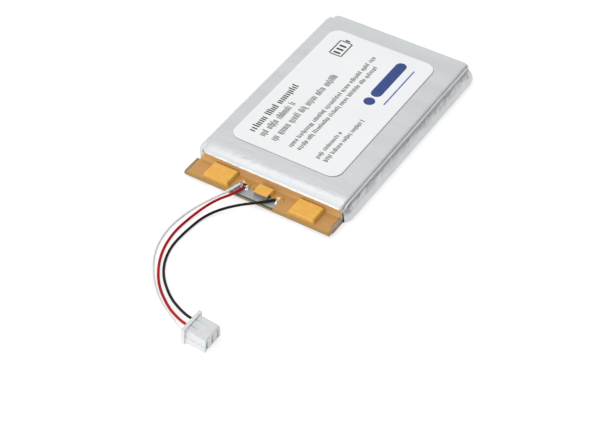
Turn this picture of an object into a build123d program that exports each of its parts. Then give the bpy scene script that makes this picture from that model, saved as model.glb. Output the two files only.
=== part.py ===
"""Single-cell lithium polymer pouch battery with its protection board and a three-wire lead.

Millimetres, +Z up. The cell lies flat on z = 0 with the origin under the middle of the cell.
-Y is the end with the protection board and the lead, +Y the folded end of the pouch.
"""
from build123d import *
from math import cos, pi, radians, sin, tan
import os

os.makedirs("parts", exist_ok=True)

# ---- driving dimensions -------------------------------------------------------------------
half_length = 42.0             # cell and board together, along Y
cup_width = 48.4               # drawn cup, without the folded side seals
cup_front = -34.6              # front wall of the cup; the board lies in front of it
pouch_top = 5.7                # top face of the cup above the table
laminate = 0.15                # aluminium laminate film
cup_top_round = 1.5            # soft edge around the top of the cup
cup_corner_round = 1.75        # upright corners of the cup

seal_outer = 26.4              # half width over the folded side seals
seal_height = 4.9
seal_roll = 0.6                # half the distance between the two legs of a folded seal
seal_foot_round = 1.0
seal_top_round = 0.588
seal_inner_end = 1.5           # where the inner leg ends, above the table
seal_back, seal_front = 40.6, -34.4

terrace_front = -40.9          # flat front seal, under the board

label_size = (37.0, 60.0, 0.1)
label_centre = (-1.9, 4.8)
label_corner = 3.6

plate_count = 17               # electrode plates, anodes outermost
plate_thickness = 0.22
separator_thickness = 0.07
stack_floor = 0.35
stack_front, stack_back = -31.0, 40.9
separator_half_width = 22.9
anode_half_width, anode_margins = 22.6, (0.4, 0.2)         # margins inside the separator,
cathode_half_width, cathode_margins = 22.1, (0.9, 0.7)     # at the front and at the back
stack_tape_width = 12.0
stack_tape_reach = 15.0
stack_tape_thickness = 0.07

tab_offset = 14.5              # tabs and weld plates, left and right of the middle
tab_width = 4.0
tab_thickness = 0.1
tab_floor = 0.2                # underside of a tab in the front seal
tab_front = -41.45             # where a tab turns back under the board
tab_bend = 0.4
tab_root = 1.0                 # how far a tab reaches in under the stack's front
tab_return = 2.0               # where it ends under the board, behind the middle of a weld plate
foil_gap = 0.05                # between the stack and the foil drawn together
foil_lead_in = 0.1             # between the foil and a tab's adhesive film
foil_end_height = 0.15
foil_shoulder = 0.2            # top of the drawn foil below the top of the stack
film_half_width = 3.1          # adhesive film around a tab in the front seal
film_back = -33.9
film_front = -41.1

board_front, board_back = -41.9, -35.0
board_left, board_right = -23.8, 24.2
board_floor, board_top = 1.2, 2.1
board_corner = 0.3

weld_plate_size = (7.8, 5.8, 1.35)
weld_plate_y = -38.1
weld_plate_chamfer = 0.15
mosfet_size = (4.6, 3.5, 1.3)
mosfet_y = -38.05
mosfet_chamfer = 0.12

pad_size = (44.0, 5.2)         # foam under the board
pad_y = -38.0
pocket_gap = (0.3, 0.05)       # around and above a small part, in the foam

tape_thickness = 0.1
tape_left, tape_right = -25.3, 23.7
tape_wall_top = 4.5            # how far the tape climbs the cup's front wall
tape_return = -41.6            # where the tape ends under the board
tape_rise = 0.9                # slope from the board up to the cup's wall
tape_rise_start = 0.6
tape_bends = [0.4, 0.4, 0.1, 0.1]
notch_left, notch_right = -9.4, 5.6
notch_back = -38.6             # bare part of the board, where the lead is soldered
notch_overrun, notch_height = 1.0, 4.0
notch_floor = 1.75             # below it the tape also passes in front of the notch

lead_diameter = 0.8
conductor_diameter = 0.35
strip_length = 1.0             # bare wire at each end of a lead
bend_share = 0.45              # share of a straight run taken up by the bend at each end
solder_radius, solder_height = 0.6, 1.05
solder_taper = 0.45            # top radius of a solder fillet, as a share of its foot
solder_lead_in = 0.1           # middle of a fillet, beyond the bare end of a wire

# The plug lies nose down on the rim of its flange. Its own frame has x towards the nose.
plug_tilt = 4.0
plug_corner = (11.55, -91.85, 0.07)    # wire side, middle of the lower edge of the flange
plug_pitch = 2.5
plug_ways = 3
plug_length = 7.2
flange_size = (1.0, 8.3, 5.6)
body_floor = 0.45
body_back_top, body_front_top = 5.2, 4.75
rail_half_width, rail_top = 3.7, 2.5          # lower, widest part of the body's sides
side_half_width, side_top = 3.52, 3.75
roof_half_width = 3.2
nose_band = 1.6                # raised band across the roof at the front
band_height = 0.05
band_slope = 0.12              # rise of the band's top towards the wires
band_root = 0.3                # how deep the band starts in the roof
nose_round = 0.4
cavity_size = (1.7, 2.4)       # across and up, around a terminal
slot_size = (0.9, 3.0)         # opening for a header pin in the front face
slot_drop = 0.1                # middle of the opening below the middle of its way
front_wall = 0.6
groove_size = (0.3, 0.35)
way_height = 2.7
wire_seat = 2.0                # depth at which a wire's insulation ends in the plug
wire_mouth = -1.4              # where a wire's route lines up with its way
terminal_box = (1.4, 1.8)      # across and up
terminal_bore = (1.1, 1.5)
terminal_gap = 0.1             # between a terminal and the ends of its way
barrel_radius = 0.45
neck_size = (0.6, 0.8, 0.75)   # between the barrel and the spring box
neck_lead_in = 0.4

plug_plane = Plane(
    origin=plug_corner,
    x_dir=(cos(radians(plug_tilt)), 0, -sin(radians(plug_tilt))),
    z_dir=(sin(radians(plug_tilt)), 0, cos(radians(plug_tilt))),
)
way_places = [(way - (plug_ways - 1) / 2) * plug_pitch for way in range(plug_ways)]
wire_seats = [tuple(plug_plane.from_local_coords((wire_seat, y, way_height))) for y in way_places]
wire_mouths = [tuple(plug_plane.from_local_coords((wire_mouth, y, way_height))) for y in way_places]

# Routes of the lead's wires, from the board to the plug.
lead_routes = {
    "white": [
        (-7.6, -38.6, 2.65),
        (-8.7, -42.9, 2.8),
        (-12.4, -48.2, 1.5),
        (-15.3, -54.6, 0.45),
        (-16.2, -62.6, 0.42),
        (-14.5, -71.5, 0.42),
        (-9.2, -80.0, 0.42),
        (-1.8, -87.0, 0.45),
        (6.2, -91.5, 1.5),
        wire_mouths[0],
        wire_seats[0],
    ],
    "red": [
        (-6.1, -39.0, 2.65),
        (-6.4, -42.8, 3.0),
        (-10.6, -47.7, 1.9),
        (-13.3, -55.4, 0.45),
        (-13.9, -64.2, 0.42),
        (-11.6, -73.2, 0.42),
        (-6.2, -81.6, 0.42),
        (1.0, -87.2, 0.5),
        (6.4, -90.2, 1.8),
        wire_mouths[1],
        wire_seats[1],
    ],
    "black": [
        (4.55, -38.75, 2.65),
        (1.6, -42.1, 2.8),
        (-4.8, -46.5, 1.9),
        (-9.9, -52.2, 0.6),
        (-11.2, -60.4, 0.42),
        (-11.2, -69.2, 0.42),
        (-7.6, -77.6, 0.42),
        (-0.6, -84.0, 0.5),
        (5.8, -87.5, 1.6),
        wire_mouths[2],
        wire_seats[2],
    ],
}


def save(name, part):
    """Label a finished piece and write it."""
    part.label = name
    export_step(part, f"parts/{name}.step")


# ---- pouch --------------------------------------------------------------------------------
cup_half = cup_width / 2
cup_length = half_length - cup_front
cup_middle = (half_length + cup_front) / 2
terrace_length = cup_front - terrace_front
terrace_middle = (terrace_front + cup_front) / 2
film_top = tab_floor + tab_thickness + (tab_floor - laminate)
film_length = film_back - film_front
film_middle = (film_front + film_back) / 2


def seal_section(layer_side):
    """Section of one laminate layer of the right-hand side seal, folded up and rolled over."""
    outer_leg = seal_outer - laminate
    inner_leg = outer_leg - 2 * seal_roll
    top = seal_height - laminate
    with BuildSketch(Plane.XZ.offset(-seal_back), mode=Mode.PRIVATE) as section:
        with BuildLine():
            FilletPolyline(
                (cup_half - laminate, laminate),
                (outer_leg, laminate),
                (outer_leg, top),
                (inner_leg, top),
                (inner_leg, seal_inner_end),
                radius=[seal_foot_round, seal_top_round, seal_top_round],
            )
            offset(amount=laminate, side=layer_side)
        make_face()
    return section.sketch


with BuildPart() as pouch_cup:
    with BuildSketch(Plane.XY.offset(laminate)):
        with Locations((0, cup_middle)):
            RectangleRounded(cup_width, cup_length, cup_corner_round)
    extrude(amount=pouch_top - laminate)
    fillet(pouch_cup.edges().group_by(Axis.Z)[-1], cup_top_round)
    offset(amount=-laminate, openings=pouch_cup.faces().sort_by(Axis.Z)[0])
    # The front seal is a second layer over the cover, humped over the two tabs.
    with BuildSketch(Plane.XY.offset(laminate)):
        with Locations((0, terrace_middle)):
            Rectangle(cup_width - 2 * cup_corner_round, terrace_length)
    extrude(amount=laminate)
    with BuildSketch(Plane.XY.offset(laminate)):
        with Locations((-tab_offset, terrace_middle), (tab_offset, terrace_middle)):
            Rectangle(2 * film_half_width + 2 * laminate, terrace_length)
    extrude(amount=film_top)
    with BuildSketch(Plane.XY.offset(laminate)):
        with Locations((-tab_offset, film_middle), (tab_offset, film_middle)):
            Rectangle(2 * film_half_width, film_length)
    extrude(amount=film_top - laminate, mode=Mode.SUBTRACT)
    # Inner layer of the folded side seals.
    extrude(seal_section(Side.LEFT), amount=seal_back - seal_front)
    extrude(mirror(seal_section(Side.LEFT), Plane.YZ, mode=Mode.PRIVATE), amount=seal_back - seal_front)
save("pouch_cup", pouch_cup.part)

with BuildPart() as pouch_cover:
    with BuildSketch():
        with Locations((0, (terrace_front + half_length) / 2)):
            RectangleRounded(cup_width, half_length - terrace_front, cup_corner_round)
    extrude(amount=laminate)
    extrude(seal_section(Side.RIGHT), amount=seal_back - seal_front)
    extrude(mirror(seal_section(Side.RIGHT), Plane.YZ, mode=Mode.PRIVATE), amount=seal_back - seal_front)
save("pouch_cover", pouch_cover.part)

# ---- electrode stack ----------------------------------------------------------------------
layer_pitch = plate_thickness + separator_thickness
stack_top = stack_floor + plate_count * layer_pitch + separator_thickness


def plate_stack(first, half_width, margins):
    """Every second plate of the stack, starting with plate number first."""
    front, back = stack_front + margins[0], stack_back - margins[1]
    with BuildPart() as plates:
        for number in range(first, plate_count, 2):
            floor = stack_floor + separator_thickness + number * layer_pitch
            with BuildSketch(Plane.XY.offset(floor)):
                with Locations((0, (front + back) / 2)):
                    Rectangle(2 * half_width, back - front)
            extrude(amount=plate_thickness)
    return plates.part


save("anode_plates", plate_stack(0, anode_half_width, anode_margins))
save("cathode_plates", plate_stack(1, cathode_half_width, cathode_margins))

# One separator web, folded to and fro between the plates.
with BuildPart() as separator:
    stack_length = stack_back - stack_front
    stack_middle = (stack_back + stack_front) / 2
    for layer in range(plate_count + 1):
        floor = stack_floor + layer * layer_pitch
        with Locations((0, stack_middle, floor)):
            Box(2 * separator_half_width, stack_length, separator_thickness,
                align=(Align.CENTER, Align.CENTER, Align.MIN))
    for layer in range(plate_count):
        fold_side = 1 if layer % 2 else -1
        fold_x = fold_side * (separator_half_width - separator_thickness / 2)
        with Locations((fold_x, stack_middle, stack_floor + layer * layer_pitch)):
            Box(separator_thickness, stack_length, layer_pitch + separator_thickness,
                align=(Align.CENTER, Align.CENTER, Align.MIN))
save("separator", separator.part)

with BuildPart() as stack_tape:
    with BuildSketch(Plane.YZ.offset(-stack_tape_width / 2)):
        with BuildLine():
            Polyline(
                (stack_back - stack_tape_reach, stack_floor),
                (stack_back, stack_floor),
                (stack_back, stack_top),
                (stack_back - stack_tape_reach, stack_top),
            )
            offset(amount=stack_tape_thickness, side=Side.RIGHT, kind=Kind.INTERSECTION)
        make_face()
    extrude(amount=stack_tape_width)
save("stack_tape", stack_tape.part)


def foil_bundle(x):
    """Bare foil of the plates, drawn together onto a tab."""
    foil_back, foil_front = stack_front - foil_gap, film_back + foil_lead_in
    foil_floor = tab_floor + tab_thickness
    with BuildPart() as bundle:
        with BuildSketch(Plane.YZ.offset(x - tab_width / 2)):
            with BuildLine():
                Polyline(
                    (foil_back, foil_floor),
                    (foil_back, stack_top - foil_shoulder),
                    (foil_front, foil_floor + foil_end_height),
                    (foil_front, foil_floor),
                    close=True,
                )
            make_face()
        extrude(amount=tab_width)
    return bundle.part


def tab(x):
    """Metal strip that leaves through the front seal and turns back under the board."""
    with BuildPart() as strip:
        with BuildSketch(Plane.YZ.offset(x - tab_width / 2)):
            with BuildLine():
                FilletPolyline(
                    (stack_front - tab_root, tab_floor),
                    (tab_front, tab_floor),
                    (tab_front, board_floor),
                    (weld_plate_y + tab_return, board_floor),
                    radius=tab_bend,
                )
                offset(amount=tab_thickness, side=Side.RIGHT)
            make_face()
        extrude(amount=tab_width)
    return strip.part


save("cathode_foil_bundle", foil_bundle(-tab_offset))
save("anode_foil_bundle", foil_bundle(tab_offset))
save("cathode_tab", tab(-tab_offset))
save("anode_tab", tab(tab_offset))

with BuildPart() as tab_films:
    for x in (-tab_offset, tab_offset):
        with Locations((x, film_middle, laminate)):
            Box(2 * film_half_width, film_length, film_top - laminate,
                align=(Align.CENTER, Align.CENTER, Align.MIN))
        with Locations((x, film_middle, tab_floor)):
            Box(tab_width, film_length, tab_thickness,
                align=(Align.CENTER, Align.CENTER, Align.MIN), mode=Mode.SUBTRACT)
save("tab_films", tab_films.part)

# ---- protection board ---------------------------------------------------------------------
board_middle = ((board_left + board_right) / 2, (board_front + board_back) / 2)
on_floor = (Align.CENTER, Align.CENTER, Align.MIN)
hanging = (Align.CENTER, Align.CENTER, Align.MAX)

with BuildPart() as circuit_board:
    with BuildSketch(Plane.XY.offset(board_floor)):
        with Locations(board_middle):
            RectangleRounded(board_right - board_left, board_back - board_front, board_corner)
    extrude(amount=board_top - board_floor)
save("circuit_board", circuit_board.part)

with BuildPart() as weld_plates:
    with Locations((-tab_offset, weld_plate_y, board_top), (tab_offset, weld_plate_y, board_top)):
        Box(*weld_plate_size, align=on_floor)
    chamfer(weld_plates.edges().filter_by(Axis.Z), weld_plate_chamfer)
save("weld_plates", weld_plates.part)

with BuildPart() as mosfet:
    with Locations((0, mosfet_y, board_top)):
        Box(*mosfet_size, align=on_floor)
    chamfer(mosfet.edges().group_by(Axis.Z)[-1], mosfet_chamfer)
save("mosfet", mosfet.part)

# Small parts on the underside of the board: name, places and size.
under_parts = {
    "protection_ic": ([(-3.0, -37.6)], (2.0, 2.0, 0.5)),
    "chip_resistors": ([(0.4, -36.8), (0.4, -38.4), (3.0, -36.8)], (1.0, 0.5, 0.35)),
    "chip_capacitors": ([(-6.6, -36.8), (-6.6, -38.4)], (1.0, 0.5, 0.45)),
    "thermistor": ([(6.4, -37.6)], (1.6, 0.8, 0.5)),
}
for name, (places, size) in under_parts.items():
    with BuildPart() as chips:
        with Locations([(x, y, board_floor) for x, y in places]):
            Box(*size, align=hanging)
    save(name, chips.part)

# Foam between the front seal and the board, with a pocket for every small part.
with BuildPart() as terrace_pad:
    pad_floor = laminate + film_top
    with Locations((0, pad_y, pad_floor)):
        Box(*pad_size, board_floor - tab_thickness - pad_floor, align=on_floor)
    for places, size in under_parts.values():
        with Locations([(x, y, board_floor) for x, y in places]):
            Box(size[0] + pocket_gap[0], size[1] + pocket_gap[0], size[2] + pocket_gap[1],
                align=hanging, mode=Mode.SUBTRACT)
save("terrace_pad", terrace_pad.part)


# ---- lead ends and solder on the board ----------------------------------------------------
def stub(route, end, length):
    """Bare conductor running on from one end of a wire."""
    near, beyond = (route[0], route[1]) if end == 0 else (route[-1], route[-2])
    way_out = Vector(*near) - Vector(*beyond)
    with BuildPart() as bare:
        with BuildSketch(Plane(origin=near, z_dir=way_out)):
            Circle(conductor_diameter / 2)
        extrude(amount=length)
    return bare.part


def solder_place(route):
    """Point on the board under the bare end of a wire."""
    way_out = (Vector(*route[0]) - Vector(*route[1])).normalized()
    centre = Vector(*route[0]) + way_out * (strip_length + solder_lead_in)
    return (centre.X, centre.Y, board_top)


def solder_dome(places, growth, cut=()):
    """Solder fillets around the bare ends; growth makes the cover that lies over them."""
    with BuildPart() as domes:
        with Locations(places):
            Cone(solder_radius + growth, solder_taper * solder_radius + growth, solder_height + growth,
                 align=on_floor)
        for bare in cut:
            add(bare, mode=Mode.SUBTRACT)
    return domes.part


board_stubs = [stub(route, 0, strip_length) for route in lead_routes.values()]
plug_stubs = [stub(route, -1, strip_length) for route in lead_routes.values()]
solder_places = [solder_place(route) for route in lead_routes.values()]

with BuildPart() as board_wire_ends:
    add(board_stubs)
save("board_wire_ends", board_wire_ends.part)

with BuildPart() as plug_wire_ends:
    add(plug_stubs)
save("plug_wire_ends", plug_wire_ends.part)

save("solder_joints", solder_dome(solder_places, 0, board_stubs))

# ---- adhesive tape over the board ---------------------------------------------------------
with BuildPart() as polyimide_tape:
    with BuildSketch(Plane.YZ.offset(tape_left)):
        with BuildLine():
            FilletPolyline(
                (cup_front, tape_wall_top),
                (cup_front, board_top + tape_rise),
                (board_back - tape_rise_start, board_top),
                (board_front, board_top),
                (board_front, board_floor),
                (tape_return, board_floor),
                radius=tape_bends,
            )
            offset(amount=tape_thickness, side=Side.RIGHT)
        make_face()
    extrude(amount=tape_right - tape_left)
    with Locations((-tab_offset, weld_plate_y, board_top), (tab_offset, weld_plate_y, board_top)):
        Box(weld_plate_size[0] + 2 * tape_thickness, weld_plate_size[1] + 2 * tape_thickness,
            weld_plate_size[2] + tape_thickness, align=on_floor)
    add(solder_dome(solder_places, tape_thickness))
    with Locations(((notch_left + notch_right) / 2, notch_back, notch_floor)):
        Box(notch_right - notch_left, notch_back - board_front + notch_overrun, notch_height,
            align=(Align.CENTER, Align.MAX, Align.MIN), mode=Mode.SUBTRACT)
    with Locations((0, mosfet_y + tape_thickness / 2, board_top)):
        Box(mosfet_size[0] + 2 * tape_thickness, mosfet_size[1] + tape_thickness,
            mosfet_size[2] + tape_thickness, align=on_floor)
    add(circuit_board.part, mode=Mode.SUBTRACT)
    add(weld_plates.part, mode=Mode.SUBTRACT)
    add(mosfet.part, mode=Mode.SUBTRACT)
    add(solder_dome(solder_places, 0), mode=Mode.SUBTRACT)
    add(board_stubs, mode=Mode.SUBTRACT)
save("polyimide_tape", polyimide_tape.part)

# ---- label --------------------------------------------------------------------------------
with BuildPart() as label:
    with BuildSketch(Plane.XY.offset(pouch_top)):
        with Locations(label_centre):
            RectangleRounded(label_size[0], label_size[1], label_corner)
    extrude(amount=label_size[2])
save("label", label.part)


# ---- lead ---------------------------------------------------------------------------------
def bend_radii(points):
    """Radius at each corner of a route, as large as its two runs allow."""
    radii = []
    for before, here, after in zip(points, points[1:], points[2:]):
        run_in = Vector(*here) - Vector(*before)
        run_out = Vector(*after) - Vector(*here)
        half_turn = radians(run_in.get_angle(run_out)) / 2
        radii.append(bend_share * min(run_in.length, run_out.length) / tan(half_turn))
    return radii


for colour, route in lead_routes.items():
    radii = bend_radii(route)
    with BuildPart() as lead:
        with BuildLine() as path:
            FilletPolyline(*route, radius=radii)
        with BuildSketch(Plane(origin=path.line @ 0, z_dir=path.line % 0)):
            Circle(lead_diameter / 2)
        sweep()
    save(f"lead_{colour}", lead.part)
    length = sum(edge.length for edge in path.edges())
    print(f"lead_{colour}: length {length:.1f}, volume {lead.part.volume:.2f}, "
          f"section x length {pi * lead_diameter**2 / 4 * length:.2f}")
    print("  radii", [round(radius, 1) for radius in radii])

# ---- plug, made in its own frame and laid down at the end ----------------------------------
body_length = plug_length - flange_size[0]
from_back = (Align.MIN, Align.CENTER, Align.CENTER)

with BuildPart() as plug_housing:
    # Section across the body: rails below, narrower sides, sloping shoulders to the roof.
    with BuildSketch(Plane.YZ.offset(flange_size[0])):
        with BuildLine():
            Polyline(
                (0, body_floor),
                (rail_half_width, body_floor),
                (rail_half_width, rail_top),
                (side_half_width, rail_top),
                (side_half_width, side_top),
                (roof_half_width, body_back_top),
                (0, body_back_top),
                close=True,
            )
        make_face()
        mirror(about=Plane.YZ)
    extrude(amount=body_length)
    # The roof slopes down to the nose, and a thin band crosses it there.
    with BuildSketch(Plane.XZ):
        with BuildLine():
            Polyline(
                (flange_size[0], body_back_top),
                (plug_length, body_front_top),
                (plug_length, flange_size[2]),
                (flange_size[0], flange_size[2]),
                close=True,
            )
        make_face()
    extrude(amount=rail_half_width, both=True, mode=Mode.SUBTRACT)
    with BuildSketch(Plane.XZ):
        with BuildLine():
            Polyline(
                (plug_length - nose_band, body_front_top - band_root),
                (plug_length, body_front_top - band_root),
                (plug_length, body_front_top + band_height),
                (plug_length - nose_band, body_front_top + band_slope + band_height),
                close=True,
            )
        make_face()
    extrude(amount=roof_half_width, both=True)
    nose_edge = plug_housing.edges().filter_by(Axis.Y).group_by(Axis.X)[-1].sort_by(Axis.Z)[-1]
    fillet(nose_edge, nose_round)
    with Locations((0, 0, flange_size[2] / 2)):
        Box(*flange_size, align=from_back)
    for way_y in way_places:
        with Locations((0, way_y, way_height)):
            Box(plug_length - front_wall, *cavity_size, align=from_back, mode=Mode.SUBTRACT)
        with Locations((plug_length - front_wall, way_y, way_height - slot_drop)):
            Box(front_wall, *slot_size, align=from_back, mode=Mode.SUBTRACT)
    # Grooves between the ways run out where the roof comes down to their floor.
    for groove_y in (-plug_pitch / 2, plug_pitch / 2):
        with Locations((flange_size[0], groove_y, body_back_top - groove_size[1])):
            Box(body_length - nose_band, *groove_size, align=(Align.MIN, Align.CENTER, Align.MIN),
                mode=Mode.SUBTRACT)
save("plug_housing", plug_plane.location * plug_housing.part)

# A terminal is a square spring box at the front and a barrel crimped on the bare wire behind it.
with BuildPart() as crimp_terminals:
    barrel_back = wire_seat + terminal_gap
    box_back = barrel_back + strip_length
    box_length = plug_length - front_wall - terminal_gap - box_back
    for way_y in way_places:
        with Locations((box_back, way_y, way_height)):
            Box(box_length, *terminal_box, align=from_back)
            Box(box_length, *terminal_bore, align=from_back, mode=Mode.SUBTRACT)
        with Locations((barrel_back, way_y, way_height)):
            Cylinder(barrel_radius, strip_length - terminal_gap, rotation=(0, 90, 0), align=on_floor)
        with Locations((box_back - neck_lead_in, way_y, way_height - terminal_box[1] / 2)):
            Box(*neck_size, align=(Align.MIN, Align.CENTER, Align.MIN))
        with Locations((wire_seat, way_y, way_height)):
            Cylinder(conductor_diameter / 2, strip_length, rotation=(0, 90, 0), align=on_floor,
                     mode=Mode.SUBTRACT)
save("crimp_terminals", plug_plane.location * crimp_terminals.part)
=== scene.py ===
"""Looks of a lithium polymer pouch cell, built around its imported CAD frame.

The cell lies flat on z = 0. -Y is the end with the protection board and the lead, +Y the folded
end. Shapes are worked out in millimetres and turned into metres where a mesh is made.
"""

import math
import random

import bmesh
import bpy
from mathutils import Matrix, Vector, noise


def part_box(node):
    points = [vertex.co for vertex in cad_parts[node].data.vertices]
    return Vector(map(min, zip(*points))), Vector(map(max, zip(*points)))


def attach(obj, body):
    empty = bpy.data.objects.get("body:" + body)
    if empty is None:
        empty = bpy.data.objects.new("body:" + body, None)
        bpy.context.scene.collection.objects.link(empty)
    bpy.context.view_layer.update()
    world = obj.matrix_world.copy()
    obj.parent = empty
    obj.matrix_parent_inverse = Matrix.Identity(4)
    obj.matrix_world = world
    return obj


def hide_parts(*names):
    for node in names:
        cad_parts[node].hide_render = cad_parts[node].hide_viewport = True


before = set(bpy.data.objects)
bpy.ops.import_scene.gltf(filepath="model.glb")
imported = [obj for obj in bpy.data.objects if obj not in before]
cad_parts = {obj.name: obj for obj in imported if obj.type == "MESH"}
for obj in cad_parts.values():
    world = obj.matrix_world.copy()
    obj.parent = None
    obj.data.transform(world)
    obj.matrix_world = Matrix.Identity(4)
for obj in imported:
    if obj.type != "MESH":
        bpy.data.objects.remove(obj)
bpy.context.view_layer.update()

MM = 0.001
scene = bpy.context.scene


def box_mm(node):
    """Lowest and highest corner of a CAD node, in millimetres."""
    low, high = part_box(node)
    return low / MM, high / MM


terrace_front = box_mm("pouch_cover")[0].y
cup_back = box_mm("pouch_cup")[1].y
label_low, label_high = box_mm("label")
tape_low, tape_high = box_mm("polyimide_tape")
board_low, board_high = box_mm("circuit_board")
plates_low, plates_high = box_mm("weld_plates")
mosfet_low, mosfet_high = box_mm("mosfet")

# ---- pouch dimensions ---------------------------------------------------------------------
film = 0.15                       # laminate film
cup_half = 24.2                   # half width of the drawn cup
cup_front = tape_high.y           # the tape climbs the cup's front wall
cup_corner = 1.75                 # upright corners
cup_round = 1.3                   # edge round at the sides and the back
label_gap = 0.03                  # gap under the label, as thick as its glue; a dark sheet in it paints the shadow along the label's front and right edges
cup_top = label_low.z - label_gap
label_half = ((label_high.x - label_low.x) / 2, (label_high.y - label_low.y) / 2)
label_middle = ((label_high.x + label_low.x) / 2, (label_high.y + label_low.y) / 2)

# ---- camera -------------------------------------------------------------------------------
camera_place = Vector((197.23, -333.784, 335.21)) * MM
camera_target = Vector((13.047, -39.243, 0)) * MM

camera_data = bpy.data.cameras.new("camera")
camera_data.sensor_fit = "HORIZONTAL"
camera_data.sensor_width = 36.0
camera_data.lens = 102.3
camera_data.clip_start = 0.01
camera_data.clip_end = 10.0
camera = bpy.data.objects.new("camera", camera_data)
camera.location = camera_place
camera.rotation_mode = "QUATERNION"
camera.rotation_quaternion = (camera_target - camera_place).to_track_quat("-Z", "Y")
scene.collection.objects.link(camera)
scene.camera = camera


# ---- materials ----------------------------------------------------------------------------
def new_material(name, colour, roughness, metallic=0.0, **sockets):
    """Principled material; sockets are given by name with spaces as underscores."""
    made = bpy.data.materials.new(name)
    made.use_nodes = True
    shader = made.node_tree.nodes["Principled BSDF"]
    shader.inputs["Base Color"].default_value = (*colour, 1.0)
    shader.inputs["Roughness"].default_value = roughness
    shader.inputs["Metallic"].default_value = metallic
    for socket, value in sockets.items():
        shader.inputs[socket.replace("_", " ")].default_value = value
    return made


noise_span = (0.32, 0.68)         # values of the colour noise where the two colours are reached
rough_span = (0.3, 0.7)           # and of the roughness noise
rough_pace = 1.7                  # roughness features per colour feature
grain_detail = 4.0


def stretched_noise(made, scale, stretch, detail=3.0):
    """Noise over the piece's own coordinates; scale is in features per metre."""
    nodes, links = made.node_tree.nodes, made.node_tree.links
    place = nodes.new("ShaderNodeTexCoord")
    mapping = nodes.new("ShaderNodeMapping")
    mapping.inputs["Scale"].default_value = stretch
    texture = nodes.new("ShaderNodeTexNoise")
    texture.inputs["Scale"].default_value = scale
    texture.inputs["Detail"].default_value = detail
    links.new(place.outputs["Object"], mapping.inputs["Vector"])
    links.new(mapping.outputs["Vector"], texture.inputs["Vector"])
    return texture.outputs["Fac"]


def vary_colour(made, low, high, scale, stretch=(1, 1, 1)):
    """Base colour that wanders between two near colours."""
    nodes, links = made.node_tree.nodes, made.node_tree.links
    ramp = nodes.new("ShaderNodeValToRGB")
    ramp.color_ramp.elements[0].position = noise_span[0]
    ramp.color_ramp.elements[0].color = (*low, 1.0)
    ramp.color_ramp.elements[1].position = noise_span[1]
    ramp.color_ramp.elements[1].color = (*high, 1.0)
    links.new(stretched_noise(made, scale, stretch), ramp.inputs["Fac"])
    links.new(ramp.outputs["Color"], nodes["Principled BSDF"].inputs["Base Color"])


def vary_roughness(made, low, high, scale, stretch=(1, 1, 1)):
    """Roughness that wanders between two values."""
    nodes, links = made.node_tree.nodes, made.node_tree.links
    spread = nodes.new("ShaderNodeMapRange")
    spread.inputs["From Min"].default_value = rough_span[0]
    spread.inputs["From Max"].default_value = rough_span[1]
    spread.inputs["To Min"].default_value = low
    spread.inputs["To Max"].default_value = high
    links.new(stretched_noise(made, scale, stretch), spread.inputs["Value"])
    links.new(spread.outputs["Result"], nodes["Principled BSDF"].inputs["Roughness"])


def add_bumps(made, layers):
    """Bump layers, each (features per metre, height in metres, stretch)."""
    nodes, links = made.node_tree.nodes, made.node_tree.links
    normal = None
    for scale, height, stretch in layers:
        bump = nodes.new("ShaderNodeBump")
        bump.inputs["Distance"].default_value = height
        links.new(stretched_noise(made, scale, stretch, grain_detail), bump.inputs["Height"])
        if normal is not None:
            links.new(normal, bump.inputs["Normal"])
        normal = bump.outputs["Normal"]
    links.new(normal, nodes["Principled BSDF"].inputs["Normal"])


def finish_of(name, low, high, roughness, metallic=0.0, scale=400, stretch=(1, 1, 1),
              bumps=((2500, 0.00001, (1, 1, 1)),), rough_spread=0.06, **sockets):
    """Material with wandering colour and roughness and a fine surface grain."""
    made = new_material(name, low, roughness, metallic, **sockets)
    vary_colour(made, low, high, scale, stretch)
    vary_roughness(made, roughness - rough_spread, roughness + rough_spread, scale * rough_pace,
                   stretch)
    add_bumps(made, bumps)
    return made


across = (0.12, 1, 1)             # streaks that run along X
along = (1, 0.1, 1)               # streaks that run along Y
even = (1, 1, 1)

laminate = finish_of("laminate", (0.59, 0.605, 0.615), (0.64, 0.66, 0.67), 0.31, 0.75, scale=160,
                     stretch=across, bumps=((300, 0.00014, across), (850, 0.00009, (0.5, 1, 1)),
                                            (3000, 0.000008, across)))
label_paper = finish_of("label_paper", (0.86, 0.87, 0.88), (0.89, 0.90, 0.91), 0.4, scale=60,
                        bumps=((1500, 0.000004, even),), Coat_Weight=0.25, Coat_Roughness=0.25)
# Painted shadow: a dark sheet that shows just past the label's front and right edges.
label_painted_shadow = finish_of("label_painted_shadow", (0.16, 0.17, 0.17), (0.2, 0.21, 0.21), 0.5)
ink_black = finish_of("ink_black", (0.012, 0.012, 0.013), (0.03, 0.03, 0.032), 0.5, scale=900)
ink_blue = finish_of("ink_blue", (0.006, 0.035, 0.2), (0.008, 0.045, 0.25), 0.45, scale=500)
ink_pale = finish_of("ink_pale", (0.08, 0.16, 0.45), (0.12, 0.2, 0.5), 0.45, scale=500)
board_green = finish_of("board_green", (0.01, 0.06, 0.02), (0.015, 0.09, 0.03), 0.4, scale=600,
                        Coat_Weight=0.4)
tinned_grain = ((900, 0.00002, even), (4000, 0.000006, even))
tinned = finish_of("tinned", (0.5, 0.52, 0.54), (0.62, 0.64, 0.66), 0.32, 0.8, scale=700,
                   bumps=tinned_grain)
bare_board = finish_of("bare_board", (0.36, 0.375, 0.385), (0.42, 0.43, 0.44), 0.5, 0.3, scale=700,
                       bumps=tinned_grain)
nickel = finish_of("nickel", (0.6, 0.57, 0.52), (0.68, 0.65, 0.6), 0.3, 1.0, scale=300,
                   stretch=across, bumps=((2000, 0.000006, across),))
chip_grey = finish_of("chip_grey", (0.2, 0.21, 0.22), (0.26, 0.27, 0.28), 0.5, scale=900,
                      bumps=((5000, 0.000008, even),))
chip_black = finish_of("chip_black", (0.012, 0.012, 0.013), (0.025, 0.025, 0.027), 0.55,
                       scale=900, bumps=((6000, 0.00001, even),))
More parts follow.
